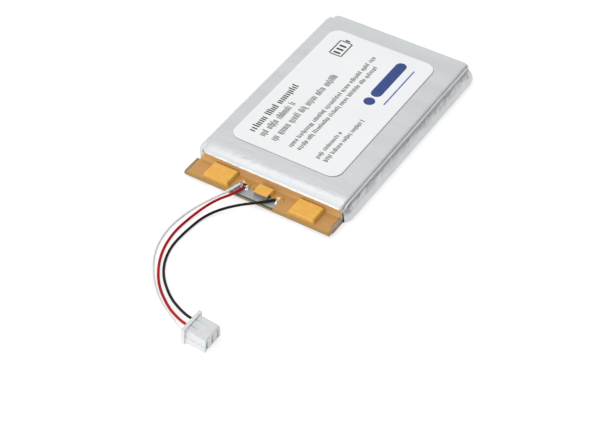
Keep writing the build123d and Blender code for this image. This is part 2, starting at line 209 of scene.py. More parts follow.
chip_ceramic = finish_of("chip_ceramic", (0.3, 0.2, 0.12), (0.38, 0.27, 0.17), 0.5, scale=900)
solder = finish_of("solder", (0.72, 0.73, 0.75), (0.82, 0.83, 0.84), 0.16, 1.0, scale=900,
                   bumps=((1500, 0.00003, even), (5000, 0.000008, even)), rough_spread=0.05)
wire_white, wire_red, wire_black = (
    finish_of(name, low, high, 0.3, scale=150, bumps=((800, 0.00001, even),), Specular_IOR_Level=0.12)
    for name, low, high in (("wire_white", (0.78, 0.79, 0.79), (0.84, 0.85, 0.85)),
                            ("wire_red", (0.36, 0.004, 0.008), (0.46, 0.007, 0.012)),
                            ("wire_black", (0.006, 0.006, 0.006), (0.013, 0.013, 0.013))))
nylon = finish_of("nylon", (0.7, 0.725, 0.735), (0.74, 0.765, 0.775), 0.45, scale=300,
                  bumps=((1800, 0.00001, even),), Subsurface_Weight=0.25,
                  Subsurface_Scale=0.0006)
terminal_tin = finish_of("terminal_tin", (0.72, 0.73, 0.74), (0.82, 0.83, 0.84), 0.4, 0.6, scale=500)
foil_finish = {"scale": 300, "stretch": along, "bumps": ((900, 0.00003, even),)}
aluminium_foil = finish_of("aluminium_foil", (0.75, 0.76, 0.78), (0.82, 0.83, 0.84), 0.28, 1.0,
                           **foil_finish)
copper_foil = finish_of("copper_foil", (0.72, 0.3, 0.16), (0.8, 0.38, 0.22), 0.3, 1.0, **foil_finish)
cathode_black = finish_of("cathode_black", (0.02, 0.02, 0.022), (0.03, 0.03, 0.034), 0.85)
anode_graphite = finish_of("anode_graphite", (0.045, 0.045, 0.048), (0.06, 0.06, 0.062), 0.7)
separator_white = finish_of("separator_white", (0.8, 0.8, 0.78), (0.86, 0.86, 0.84), 0.6)
stack_green = finish_of("stack_green", (0.03, 0.22, 0.1), (0.04, 0.28, 0.13), 0.35)
tab_resin = finish_of("tab_resin", (0.55, 0.56, 0.55), (0.65, 0.66, 0.64), 0.4)
foam_grey = finish_of("foam_grey", (0.5, 0.5, 0.48), (0.62, 0.62, 0.6), 0.9, scale=1500,
                      bumps=((2500, 0.00008, even),))

amber = finish_of("amber", (0.6, 0.325, 0.1), (0.62, 0.34, 0.11), 0.3, scale=250,
                  bumps=((500, 0.00003, even), (2500, 0.000006, even)), Alpha=0.93,
                  Coat_Weight=0.15, Coat_Roughness=0.1, Specular_IOR_Level=0.3)


mottle_depth = 0.09               # how far a tint wanders along the ramp
mottle_scale = 500


def tint_by_backing_and_painted_light(made, tints):
    """Colour of the tape from a 0 to 1 value that its mesh carries. The value stands for what lies under
    the tape, and also for painted shade in the gaps and tents under it and painted glints over the
    solder.
    """
    nodes, links = made.node_tree.nodes, made.node_tree.links
    backing_and_painted_light = nodes.new("ShaderNodeAttribute")
    backing_and_painted_light.attribute_name = "backing_and_painted_light"
    mottle = nodes.new("ShaderNodeMath")
    mottle.operation = "MULTIPLY_ADD"
    mottle.inputs[1].default_value = mottle_depth
    links.new(stretched_noise(made, mottle_scale, even), mottle.inputs[0])
    links.new(backing_and_painted_light.outputs["Fac"], mottle.inputs[2])
    ramp = nodes.new("ShaderNodeValToRGB")
    stops = ramp.color_ramp.elements
    while len(stops) < len(tints):
        stops.new(0.5)
    for number, tint in enumerate(tints):
        stops[number].position = min(mottle_depth / 2 + number / (len(tints) - 1), 1.0)
        stops[number].color = (*tint, 1.0)
    links.new(mottle.outputs["Value"], ramp.inputs["Fac"])
    links.new(ramp.outputs["Color"], nodes["Principled BSDF"].inputs["Base Color"])


# Stops of the tape's tints, in order: the gap under it as painted shade, the board's edge, the cup, the
# board, the tents round the blocks and the solder as painted shade, the blocks, and painted glints over
# the solder.
gap_painted_shade, over_edge, over_cup, over_board, tent_painted_shade, over_block, solder_painted_glint = (
    number / 6 for number in range(7))
tint_by_backing_and_painted_light(amber, [(0.36, 0.22, 0.11), (0.42, 0.23, 0.006), (0.7, 0.41, 0.165),
                        (0.6, 0.315, 0.085), (0.62, 0.33, 0.07), (0.9, 0.465, 0.06),
                        (0.98, 0.82, 0.6)])

for node, made in {
    "circuit_board": board_green,
    "weld_plates": nickel,
    "mosfet": chip_grey,
    "protection_ic": chip_black,
    "chip_resistors": chip_black,
    "chip_capacitors": chip_ceramic,
    "thermistor": chip_ceramic,
    "board_wire_ends": tinned,
    "plug_wire_ends": tinned,
    "crimp_terminals": terminal_tin,
    "plug_housing": nylon,
    "cathode_plates": cathode_black,
    "anode_plates": anode_graphite,
    "separator": separator_white,
    "stack_tape": stack_green,
    "cathode_foil_bundle": aluminium_foil,
    "anode_foil_bundle": copper_foil,
    "cathode_tab": aluminium_foil,
    "anode_tab": nickel,
    "tab_films": tab_resin,
    "terrace_pad": foam_grey,
}.items():
    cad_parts[node].material_slots[0].material = made


# ---- pieces -------------------------------------------------------------------------------
def add_piece(name, data, made, replaces=()):
    """Object that rides on the cell's one body."""
    piece = bpy.data.objects.new(name, data)
    scene.collection.objects.link(piece)
    data.materials.append(made)
    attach(piece, "root")
    if replaces:
        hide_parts(*replaces)
    return piece


def mesh_of(name, points, faces, smooth=True):
    """Mesh from points in millimetres."""
    mesh = bpy.data.meshes.new(name)
    mesh.from_pydata([tuple(value * MM for value in point) for point in points], [], faces)
    mesh.validate()
    if smooth:
        mesh.shade_smooth()
    return mesh


def thicken(piece, thickness):
    """Give a sheet its thickness, on the side its faces turn away from."""
    solid = piece.modifiers.new("thickness", "SOLIDIFY")
    solid.thickness = thickness * MM
    solid.offset = -1
    solid.use_even_offset = True


def round_edges(piece, width, angle):
    """Round the edges sharper than an angle, in degrees."""
    bevel = piece.modifiers.new("edges", "BEVEL")
    bevel.width = width * MM
    bevel.segments = 2
    bevel.limit_method = "ANGLE"
    bevel.angle_limit = math.radians(angle)


def add_sheet(name, points, faces, made, thickness, replaces=()):
    """Sheet from points in millimetres, with its thickness."""
    piece = add_piece(name, mesh_of(name, points, faces), made, replaces)
    thicken(piece, thickness)
    return piece


def soften(piece, width):
    """Weld a CAD mesh and round its sharp edges a little."""
    weld = piece.modifiers.new("weld", "WELD")
    weld.merge_threshold = 0.002 * MM
    round_edges(piece, width, 35)


def smoothstep(value):
    value = min(max(value, 0.0), 1.0)
    return value * value * (3 - 2 * value)


# ---- lead ---------------------------------------------------------------------------------
lead_diameter = 0.8
lead_routes = {
    "white": (wire_white, 72.6, [
        (-7.6, -38.6, 2.65), (-8.7, -42.9, 2.8), (-12.4, -48.2, 1.5),
        (-15.3, -54.6, 0.45), (-16.2, -62.6, 0.42), (-14.5, -71.5, 0.42),
        (-9.2, -80.0, 0.42), (-1.8, -87.0, 0.45), (6.2, -91.5, 1.5),
        (10.342, -94.35, 2.861), (13.733, -94.35, 2.624),
    ]),
    "red": (wire_red, 69.2, [
        (-6.1, -39.0, 2.65), (-6.4, -42.8, 3.0), (-10.6, -47.7, 1.9),
        (-13.3, -55.4, 0.45), (-13.9, -64.2, 0.42), (-11.6, -73.2, 0.42),
        (-6.2, -81.6, 0.42), (1.0, -87.2, 0.5), (6.4, -90.2, 1.8),
        (10.342, -91.85, 2.861), (13.733, -91.85, 2.624),
    ]),
    "black": (wire_black, 70.8, [
        (4.55, -38.75, 2.65), (1.6, -42.1, 2.8), (-4.8, -46.5, 1.9),
        (-9.9, -52.2, 0.6), (-11.2, -60.4, 0.42), (-11.2, -69.2, 0.42),
        (-7.6, -77.6, 0.42), (-0.6, -84.0, 0.5), (5.8, -87.5, 1.6),
        (10.342, -89.35, 2.861), (13.733, -89.35, 2.624),
    ]),
}

for colour, (made, length, route) in lead_routes.items():
    curve = bpy.data.curves.new(f"wire_{colour}", "CURVE")
    curve.dimensions = "3D"
    curve.resolution_u = 12
    curve.bevel_depth = lead_diameter / 2 * MM
    curve.bevel_resolution = 6
    curve.use_fill_caps = True
    spline = curve.splines.new("NURBS")
    spline.points.add(len(route) - 1)
    for point, place in zip(spline.points, route):
        point.co = (*(value * MM for value in place), 1.0)
    spline.order_u = 3
    spline.use_endpoint_u = True
    wire = add_piece(f"wire_{colour}", curve, made, [f"lead_{colour}"])

# Contact leaves of the terminals, just behind the slots in the plug's front face.
plug_tilt = math.radians(4)
plug_pitch = 2.5
slot_front = Vector((18.75, -91.85, 2.11))   # middle of the middle slot
leaf_height, leaf_half_width = 2.8, 0.42
leaf_bow = 0.12                   # how far a leaf bulges forward
leaf_depth = 0.45                 # of its ends behind the slot
leaf_rows = 8
leaf_sheet = 0.1
leaves = bmesh.new()
for way in (-1, 0, 1):
    rows = []
    for step in range(leaf_rows + 1):
        height = leaf_height * (step / leaf_rows - 0.5)
        bow = leaf_bow * math.cos(math.pi * height / leaf_height)
        forward = (bow - leaf_depth) * math.cos(plug_tilt) + height * math.sin(plug_tilt)
        upward = height * math.cos(plug_tilt) - bow * math.sin(plug_tilt)
        row = []
        for side_step in (-leaf_half_width, 0.0, leaf_half_width):
            place = slot_front + Vector((forward, plug_pitch * way + side_step, upward))
            row.append(leaves.verts.new(place * MM))
        rows.append(row)
    for lower, upper in zip(rows, rows[1:]):
        for k in range(2):
            leaves.faces.new((lower[k], lower[k + 1], upper[k + 1], upper[k]))
leaf_mesh = bpy.data.meshes.new("contact_leaves")
leaves.to_mesh(leaf_mesh)
leaves.free()
leaf_mesh.shade_smooth()
contact_leaves = add_piece("contact_leaves", leaf_mesh, terminal_tin)
thicken(contact_leaves, leaf_sheet)

plug_edge, block_edge = 0.09, 0.06
soften(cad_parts["plug_housing"], plug_edge)
soften(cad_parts["mosfet"], block_edge)


# ---- pouch --------------------------------------------------------------------------------
def ripple(x, y, scale_x, scale_y, seed):
    """Smooth noise between -1 and 1, with its own stretch."""
    return noise.noise(Vector((x * scale_x, y * scale_y, seed)))


front_sag, front_sag_reach = 0.75, 5.5
side_sag, side_sag_start, side_sag_reach = 0.08, 0.8, 3.0
label_reach = 3.0                 # beyond the label, until the film is as loose as it gets
wave_height, wave_sink = 0.035, 0.6
pucker_reach = 7.0                # from the front
long_pucker, long_pucker_sink, short_pucker = 0.09, 0.5, 0.05


def pouch_relief(x, y):
    """How far the top of the cup stands from flat, in millimetres, flat only under the label."""
    from_front = y - cup_front
    soft_front = -front_sag * (1 - smoothstep(from_front / front_sag_reach)) ** 2
    from_side = cup_half - abs(x)
    soft_side = -side_sag * (1 - smoothstep((from_side - side_sag_start) / side_sag_reach)) ** 2
    past_label = max(abs(x - label_middle[0]) - label_half[0], abs(y - label_middle[1]) - label_half[1])
    loose = smoothstep(past_label / label_reach)
    waves = wave_height * (ripple(x, y, 0.05, 0.32, 1.5) - wave_sink)
    near_front = 1 - smoothstep(from_front / pucker_reach)
    puckers = (long_pucker * (ripple(x, y, 0.6, 0.12, 7.5) - long_pucker_sink)
               + short_pucker * ripple(x, y, 1.1, 0.5, 3.5))
    return soft_front + soft_side + (waves + puckers * near_front) * loose


def rounded_sheet(half_x, half_y, centre, corner, profile, cells, corner_steps=7):
    """Points and faces of a rounded rectangle, from its rim inward.

    The profile lists (inset, z) pairs from the rim to the inner grid, whose inset is the corner
    radius, and cells is the number of grid cells along X and Y.
    """
    cells_x, cells_y = cells
    inner_x, inner_y = half_x - corner, half_y - corner
    points, faces, rings = [], [], []
    corners = ((1, -1, -90), (1, 1, 0), (-1, 1, 90), (-1, -1, 180))
    for inset, z in profile[:-1]:
        ring = []
        for number, (side_x, side_y, start) in enumerate(corners):
            for step in range(corner_steps + 1):
                angle = math.radians(start + 90 * step / corner_steps)
                ring.append((side_x * inner_x + (corner - inset) * math.cos(angle),
                             side_y * inner_y + (corner - inset) * math.sin(angle), z))
            next_x, next_y, _ = corners[(number + 1) % 4]
            steps = cells_y if number % 2 == 0 else cells_x
            last = Vector(ring[-1])
            outward = Vector((math.cos(angle), math.sin(angle), 0)) * (corner - inset)
            following = Vector((next_x * inner_x, next_y * inner_y, z)) + outward
            for step in range(1, steps):
                ring.append(tuple(last.lerp(following, step / steps)))
        rings.append(range(len(points), len(points) + len(ring)))
        points.extend(ring)
    grid_start = len(points)
    top = profile[-1][1]
    for j in range(cells_y + 1):
        for i in range(cells_x + 1):
            points.append((-inner_x + 2 * inner_x * i / cells_x,
                           -inner_y + 2 * inner_y * j / cells_y, top))

    def grid(i, j):
        return grid_start + j * (cells_x + 1) + i

    edge = []
    sides = (
        [grid(cells_x, j) for j in range(cells_y)],
        [grid(i, cells_y) for i in range(cells_x, 0, -1)],
        [grid(0, j) for j in range(cells_y, 0, -1)],
        [grid(i, 0) for i in range(cells_x)],
    )
    for side in sides:
        edge.extend([side[0]] * (corner_steps + 1))
        edge.extend(side[1:])
    rings.append(edge)
    for outer, inner in zip(rings, rings[1:]):
        count = len(outer)
        for k in range(count):
            after = (k + 1) % count
            if inner[k] == inner[after]:
                faces.append((outer[k], outer[after], inner[k]))
            else:
                faces.append((outer[k], outer[after], inner[after], inner[k]))
    for j in range(cells_y):
        for i in range(cells_x):
            faces.append((grid(i, j), grid(i + 1, j), grid(i + 1, j + 1), grid(i, j + 1)))
    moved = [(x + centre[0], y + centre[1], z) for x, y, z in points]
    return moved, faces


cup_middle = (0, (cup_front + cup_back) / 2)
wall_heights = (film, 1.2, 2.4, 3.4)
shoulder = cup_top - cup_round
round_steps = 8
relief_depth = 1.5                # below the shoulder, where the relief fades out
cup_cells = (90, 150)
cup_skin = 0.12
cup_profile = [(0, height) for height in wall_heights]
for step in range(round_steps + 1):
    angle = math.radians(90 * step / round_steps)
    cup_profile.append((cup_round * (1 - math.cos(angle)),
                        shoulder + cup_round * math.sin(angle)))
cup_profile.append((cup_corner, cup_top))
points, faces = rounded_sheet(cup_half, (cup_back - cup_front) / 2, cup_middle, cup_corner,
                              cup_profile, cup_cells)
points = [(x, y, z + pouch_relief(x, y) * smoothstep((z - shoulder + relief_depth)
                                                     / (cup_round + relief_depth)))
          for x, y, z in points]
add_sheet("pouch_shell", points, faces, laminate, cup_skin, ["pouch_cup"])

# The flat half of the pouch, under the cell and the front seal.
base_profile = [(inset, film) for inset in (0, 0.4, 0.8, cup_corner)]
base_cells = (30, 50)
points, faces = rounded_sheet(cup_half, (cup_back - terrace_front) / 2,
                              (0, (cup_back + terrace_front) / 2), cup_corner, base_profile,
                              base_cells)
add_sheet("pouch_base", points, faces, laminate, film, ["pouch_cover"])


tab_middle = 14.5
hump_height, hump_half, hump_slope = 0.2, 3.0, 0.8
seal_half = 21.7                  # half width of the front seal
seal_cells = (120, 12)
seal_gap = 0.1                    # in front of the cup
seal_grain = 0.015
seal_skin = 0.1


def front_seal_height(x):
    """Top of the front seal: thin, and humped over the two tabs with their adhesive film."""
    reach = abs(abs(x) - tab_middle)
    return 2 * film + hump_height * (1 - smoothstep((reach - hump_half) / hump_slope))


def grid_faces(cells_x, cells_y):
    """Faces of a grid whose points run along X row by row."""
    width = cells_x + 1
    return [(j * width + i, j * width + i + 1, (j + 1) * width + i + 1, (j + 1) * width + i)
            for j in range(cells_y) for i in range(cells_x)]


seal_length = cup_front - seal_gap - terrace_front
columns = [seal_half * (2 * i / seal_cells[0] - 1) for i in range(seal_cells[0] + 1)]
rows = [terrace_front + seal_length * j / seal_cells[1] for j in range(seal_cells[1] + 1)]
points = [(x, y, front_seal_height(x) + seal_grain * ripple(x, y, 0.9, 0.9, 3.0))
          for y in rows for x in columns]
add_sheet("front_seal", points, grid_faces(*seal_cells), laminate, seal_skin)


# ---- folded side seals --------------------------------------------------------------------
def arc(centre, radius, start, end, steps):
    """Points of an arc in a section, angles in degrees."""
    return [(centre[0] + radius * math.cos(math.radians(start + (end - start) * k / steps)),
             centre[1] + radius * math.sin(math.radians(start + (end - start) * k / steps)))
            for k in range(steps + 1)]


def smooth_line(keys, steps):
    """Curve through key points, with the same number of steps between any two of them."""
    ends = [keys[0], *keys, keys[-1]]
    line = []
    for before, start, end, after in zip(ends, ends[1:], ends[2:], ends[3:]):
        for step in range(steps):
            share = step / steps
            line.append(tuple(
                0.5 * (2 * b + (c - a) * share + (2 * a - 5 * b + 4 * c - d) * share ** 2
                       + (3 * b - a - 3 * c + d) * share ** 3)
                for a, b, c, d in zip(before, start, end, after)))
    line.append(keys[-1])
    return line


# Middle line of a folded seal at its back end, from under the cup out, up and over: (x, z). Both
# lie on the cup's shoulder; the right one leans more.
seal_sections = {
    "right": [(23.3, 0.15), (25.0, 0.15), (26.05, 0.5), (26.25, 1.3), (25.9, 2.7), (25.3, 3.9),
              (24.75, 4.75), (24.3, 5.12), (23.86, 5.16)],
    "left": [(23.3, 0.15), (25.0, 0.15), (26.05, 0.5), (26.25, 1.3), (26.22, 2.8), (26.05, 3.9),
             (25.6, 4.7), (24.8, 5.06), (24.3, 5.14), (23.8, 5.1)],
}
seal_tucks = {"right": 0.55, "left": 1.0}     # how far the front end wraps the cup's corner
seal_back_tuck = 0.3
tuck_length = 2.4
seal_back, seal_front = 40.6, -34.4
seal_narrowing = 0.14             # how much closer to the cup a seal runs at its front end
seal_rows = 170
fold_height = 0.5                 # above it a seal swells and leans
long_swell, short_swell = 0.09, 0.05
end_round, end_round_length = 0.8, 2.5
seal_wave, seal_sink = 0.07, 0.05
seal_follow = 0.8                 # share of the cup's relief that the seal's top follows
tuck_sink, tuck_squeeze = 0.3, 0.75
seal_thickness = 1.86 * film
seal_rim, seal_rim_angle = 0.06, 50


def cup_side(y):
    """Half width of the cup at y, with its front corner."""
    into_corner = max(cup_front + cup_corner - y, 0)
    return cup_half - cup_corner + math.sqrt(cup_corner ** 2 - min(into_corner, cup_corner) ** 2)


def side_seal(name, side, seed):
    """Folded double layer along one side of the cup."""
    section = smooth_line(seal_sections[name], 5)
    top = max(z for _, z in section)
    widest = seal_sections[name][3][0] - cup_half
    points, faces = [], []
    for row in range(seal_rows + 1):
        share = row / seal_rows
        y = seal_back + (seal_front - seal_back) * share
        pull = 1 - seal_narrowing * share
        from_end = min(share, 1 - share) * (seal_back - seal_front)
        tuck = seal_tucks[name] if share > 0.5 else seal_back_tuck
        tuck *= 1 - smoothstep(from_end / tuck_length)
        wall = cup_half - (cup_half - cup_side(y)) * tuck
        lift = seal_wave * ripple(0, y, 0, 0.12, seed + 9)
        sink = seal_follow * pouch_relief(side * (cup_half - 1), y)
        for x, z in section:
            rise = max(z - fold_height, 0) / (top - fold_height)
            swell = (long_swell * ripple(z, y, 0.5, 0.2, seed)
                     + short_swell * ripple(z, y, 0.9, 0.7, seed + 4))
            out = (x - cup_half) * pull + swell * min(2 * rise, 1)
            out = min(out, widest) * (1 - tuck_squeeze * tuck)
            round_off = end_round * rise ** 3 * (1 - smoothstep(from_end / end_round_length))
            inward = round_off if share > 0.5 else -round_off
            height = z + (lift * rise + sink - seal_sink - tuck_sink * tuck) * rise
            points.append((side * (wall + out), y + inward, max(height, film)))
    width = len(section)
    for row in range(seal_rows):
        for k in range(width - 1):
            a, b = row * width + k, (row + 1) * width + k
            faces.append((a, b, b + 1, a + 1) if side < 0 else (a, a + 1, b + 1, b))
    piece = add_piece(f"side_seal_{name}", mesh_of(f"side_seal_{name}", points, faces), laminate)
    solid = piece.modifiers.new("thickness", "SOLIDIFY")
    solid.thickness = seal_thickness * MM
    solid.offset = 0
    round_edges(piece, seal_rim, seal_rim_angle)


side_seal("right", 1, 2.3)
side_seal("left", -1, 11.9)


# ---- label --------------------------------------------------------------------------------
label_corner = 3.6


def over_pouch(points, lift):
    """Lay flat points on the flat middle of the pouch."""
    return [(x, y, cup_top + lift) for x, y, _ in points]


def label_layer(name, growth, shift, lift, thickness, made):
    """Rounded sheet that lies on the pouch."""
    corner = label_corner + growth
    profile = [(0, 0), (0.3, 0), (1.0, 0), (corner, 0)]
    points, faces = rounded_sheet(label_half[0] + growth, label_half[1] + growth,
                                  (label_middle[0] + shift[0], label_middle[1] + shift[1]),
                                  corner, profile, (12, 20), corner_steps=12)
    return add_sheet(name, over_pouch(points, lift), faces, made, thickness)


label_top, label_skin = 0.115, 0.08
# The dark sheet under the label is grown and shifted towards the front and the right, where it paints
# the shadow along those edges.
shadow_sheet_lift, shadow_sheet_growth, shadow_sheet_shift = 0.035, 0.04, (0.09, -0.09)
ink_sink, ink_height = 0.004, 0.012
label_layer("label_painted_shadow", shadow_sheet_growth, shadow_sheet_shift, shadow_sheet_lift, label_gap, label_painted_shadow)
label_sheet = label_layer("label_sheet", 0.0, (0, 0), label_top, label_skin, label_paper)
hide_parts("label")


class Print:
    """Thin ink shapes on the label, as closed prisms over polygons in the plane."""

    def __init__(self):
        self.points, self.faces = [], []

    def shape(self, outline):
        start, count = len(self.points), len(outline)
        for lift in (label_top - ink_sink, label_top + ink_height):
            self.points.extend(over_pouch([(x, y, 0) for x, y in outline], lift))
        self.faces.append(tuple(range(start + count, start + 2 * count)))
        self.faces.append(tuple(reversed(range(start, start + count))))
        for k in range(count):
            after = (k + 1) % count
            self.faces.append((start + k, start + after, start + count + after, start + count + k))

    def bar(self, low, high):
        (x0, y0), (x1, y1) = low, high
        self.shape([(x0, y0), (x1, y0), (x1, y1), (x0, y1)])

    def done(self, name, made):
        return add_piece(name, mesh_of(name, self.points, self.faces, smooth=False), made)


# Rows of short upright strokes stand in for lines of type: they carry no letters. Each row is
# (middle x, first y, last y, height of a stroke, width of a stroke).
type_rows = [
    (-15.4, -20.3, 5.4, 1.75, 0.5),
    (-11.8, -20.5, -2.8, 1.75, 0.28),
    (-7.8, -20.4, 15.9, 1.75, 0.28),
    (-2.2, -20.3, 29.1, 1.15, 0.3),
    (0.6, -20.1, 25.0, 1.15, 0.3),
    (7.1, -20.4, -6.8, 1.1, 0.28),
    (9.8, -20.4, 1.1, 1.1, 0.28),
]
tall_share, tall_growth = 0.25, 0.32       # strokes that stand taller, and by how much
deep_share, deep_growth = 0.12, 0.26       # and that reach lower
stroke_pitches = (1.75, 1.95, 2.3)
word_gap = 0.55
draw = random.Random(5)
type_print = Print()
for middle_x, first_y, last_y, tall, stroke in type_rows:
    y = first_y
    word_left = draw.randint(4, 9)
    while y + stroke < last_y:
        top = tall / 2 + (tall_growth * tall if draw.random() < tall_share else 0)
        foot = tall / 2 + (deep_growth * tall if draw.random() < deep_share else 0)
        type_print.bar((middle_x - top, y), (middle_x + foot, y + stroke))
        y += stroke * draw.choice(stroke_pitches)
        word_left -= 1
        if word_left == 0:
            y += word_gap * tall
            word_left = draw.randint(5, 14)
type_print.done("type_rows", ink_black)


def capsule(middle_x, first_y, last_y, radius, steps=10):
    """Outline of a bar with round ends that runs along Y."""
    outline = []
    for centre_y, start in ((last_y - radius, 0), (first_y + radius, 180)):
        for k in range(steps + 1):
            angle = math.radians(start + 180 * k / steps)
            outline.append((middle_x + radius * math.cos(angle), centre_y + radius * math.sin(angle)))
    return outline


mark_print = Print()
mark_print.shape(capsule(7.0, 7.8, 11.4, 1.8))
mark_print.shape(capsule(7.0, 12.2, 30.6, 1.8))
mark_print.done("label_mark", ink_blue)
rule_print = Print()
rule_print.bar((11.3, 10.4), (11.8, 29.0))
rule_print.done("label_rule", ink_pale)

# Outline of a battery cell with three bars of charge.
icon_print = Print()
icon_x, icon_y = -13.3, 26.8
icon_half_x, icon_half_y, icon_line = 2.1, 3.5, 0.42
icon_cap_half, icon_cap_top = 0.8, 1.1
charge_half_x, charge_half_y, charge_first, charge_pitch = 1.2, 0.4, -2.3, 1.8
for side in (-1, 1):
    edge_x = icon_x + side * icon_half_x
    icon_print.bar((edge_x - icon_line / 2, icon_y - icon_half_y),
                   (edge_x + icon_line / 2, icon_y + icon_half_y))
    edge_y = icon_y + side * icon_half_y
    icon_print.bar((icon_x - icon_half_x + icon_line / 2, edge_y - icon_line / 2),
                   (icon_x + icon_half_x - icon_line / 2, edge_y + icon_line / 2))
icon_print.bar((icon_x - icon_cap_half, icon_y + icon_half_y + icon_line),
               (icon_x + icon_cap_half, icon_y + icon_half_y + icon_cap_top))
for number in range(3):
    bar_y = icon_y + charge_first + charge_pitch * number
    icon_print.bar((icon_x - charge_half_x, bar_y - charge_half_y),
                   (icon_x + charge_half_x, bar_y + charge_half_y))
icon_print.done("label_icon", ink_black)

# ---- adhesive tape over the board ---------------------------------------------------------
board_top = board_high.z
tape_skin = 0.1
tape_top = board_top + tape_skin
tape_front = tape_low.y
tape_ends = (tape_low.x, board_high.x + 0.2)
tape_corners = (0.9, 0.35)        # radii of its front corners, left and right
overhang_drop = 0.75              # of the tape past the board's ends
overhang_start = 0.1              # past the end, from where nothing backs the tape
ramp_rise = 0.75                  # of the tape, from the board up to the cup's wall
skirt_top = board_top - 0.35      # below it the tape also passes in front of the notch
skirt_bottom = board_low.z - 0.3
bare_end = (tape_high.x, -39.9)   # the tape leaves the board's right end bare behind this corner
weld_plate_half = (3.9, (plates_high.y - plates_low.y) / 2)
weld_plate_y = (plates_high.y + plates_low.y) / 2
weld_plate_x = plates_high.x - weld_plate_half[0]
mosfet_half = ((mosfet_high.x - mosfet_low.x) / 2, (mosfet_high.y - mosfet_low.y) / 2)
mosfet_y = (mosfet_high.y + mosfet_low.y) / 2
lip_length = 0.25                 # how far the tape stands out over the front of the middle block
blocks = [
    ((-weld_plate_x, weld_plate_y), weld_plate_half, plates_high.z - board_top),
    ((weld_plate_x, weld_plate_y), weld_plate_half, plates_high.z - board_top),
    ((0, mosfet_y - lip_length / 2), (mosfet_half[0], mosfet_half[1] + lip_length / 2 + 0.1),
     mosfet_high.z - board_top),
]
block_slope, block_front_slope = 0.6, 0.3     # run of the tape down from a block
notch_left, notch_right, notch_back, notch_round = -9.4, 5.6, -38.35, 1.3
solder_spots = ((-7.33, -37.53), (-6.01, -37.91), (5.28, -37.92))
solder_top = 3.15
solder_core, solder_slope = 0.45, 1.0
end_lead, end_run = 0.05, 0.35    # where the tape bends down past the board's ends
under_bend, front_bend = 0.12, 0.15
flat_rows, tape_columns = 46, 264
ramp_start, ramp_curve = 0.35, 2.2
wall_gap, wall_lean = 0.06, 0.05  # between the tape and the cup, and its change on the way up
wall_wave, wall_wave_start = 0.07, 4.0
crumple_sizes, crease_sizes, crease_limit = (0.4, 0.25), (0.03, 0.02), 0.5
block_from, slope_from, solder_from = 0.97, 0.06, 0.15   # shares from which the tape takes the block's tint, the tent's painted shade and the painted glints over the solder
painted_light_step = 0.04                 # painted light: the slopes at the front and the right take the block's tint less this step, lighter than the other slopes
glint_level = 0.05
notch_slant, notch_wave, cap_wave = 0.035, 0.12, 0.04
cap_side, cap_round = 0.1, 0.15
tape_sheet = 0.06


def box_distance(x, y, centre_x, centre_y, half_x, half_y, corner=0.0):
    """Distance from a rectangle with round corners, negative inside it."""
    out_x = abs(x - centre_x) - half_x + corner
    out_y = abs(y - centre_y) - half_y + corner
    return math.hypot(max(out_x, 0), max(out_y, 0)) + min(max(out_x, out_y), 0) - corner


def block_share(x, y, centre, half):
    """1 on a block, then down to 0 over a short slope, steeper at the front."""
    out_x = max(abs(x - centre[0]) - half[0], 0) / block_slope
    out_y = max(abs(y - centre[1]) - half[1], 0)
    out_y /= block_front_slope if y < centre[1] else block_slope
    return 1 - smoothstep(math.hypot(out_x, out_y))


def solder_share(x, y):
    """1 over a lump of solder, down to 0 around it."""
    return max(1 - smoothstep((math.hypot(x - spot_x, (y - spot_y) * 1.1) - solder_core) / solder_slope)
               for spot_x, spot_y in solder_spots)


def past_end(x):
    """0 over the board, up to 1 beyond either end of it."""
    return smoothstep((max(board_low.x - x, x - board_high.x) + end_lead) / end_run)


def tape_over(x, y):
    """Height of the tape above the bare board."""
    height = max(rise * block_share(x, y, centre, half) for centre, half, rise in blocks)
    crumple = (crumple_sizes[0] * ripple(x, y, 1.9, 1.9, 5.0)
               + crumple_sizes[1] * ripple(x, y, 4.0, 4.0, 6.0))
    height = max(height, (solder_top - board_top + crumple) * solder_share(x, y))
    creases = (crease_sizes[0] * ripple(x, y, 0.35, 1.4, 8.0)
               + crease_sizes[1] * ripple(x, y, 1.1, 0.3, 9.0))
    return height + creases * (1 - smoothstep(height / crease_limit)) - overhang_drop * past_end(x)


def tape_backing_and_painted_light(x, y):
    """Tint value of the tape's flat part at a place: the gap past the board's end as painted shade, a
    block, a slope as the tent's painted shade (painted lighter at the front and the right), painted
    glints over the solder, or the board.
    """
    if x < board_low.x - overhang_start:
        return gap_painted_shade
    share, centre = max((block_share(x, y, centre, half), centre) for centre, half, _ in blocks)
    if share > block_from:
        return over_block
    if share > slope_from:
        # Painted light: slopes at the front and the right are painted lighter, close to the blocks'
        # tint; the others take the tents' painted shade.
        painted_lit_slope = y < centre[1] - 1 or x > centre[0] + 1
        return over_block - painted_light_step if painted_lit_slope else tent_painted_shade
    if solder_share(x, y) > solder_from:
        # Painted glints: spots over the solder are painted near white, and the rest take the tents'
        # painted shade.
        glint = ripple(x, y, 2.6, 2.6, 6.0) + 0.5 * ripple(x, y, 5.5, 5.5, 2.0)
        return solder_painted_glint if glint > glint_level else tent_painted_shade
    return over_board


def notch_distance(x, y):
    """Distance from the opening in the tape, negative inside it; the cap over the middle block
    reaches out over it."""
    wavy_back = notch_back - notch_slant * x + notch_wave * ripple(x, 0, 0.55, 0, 4.0)
    half_x = (notch_right - notch_left) / 2
    reach = wavy_back - tape_front + 6
    opening = box_distance(x, y, (notch_left + notch_right) / 2, wavy_back - reach / 2, half_x,
                           reach / 2, notch_round)
    cap_front = mosfet_low.y - lip_length + cap_wave * ripple(x, 0, 0.9, 0, 2.0)
    cap = box_distance(x, y, 0, (cap_front + notch_back + 1) / 2, mosfet_half[0] + cap_side,
                       (notch_back + 1 - cap_front) / 2, cap_round)
    return max(opening, -cap)


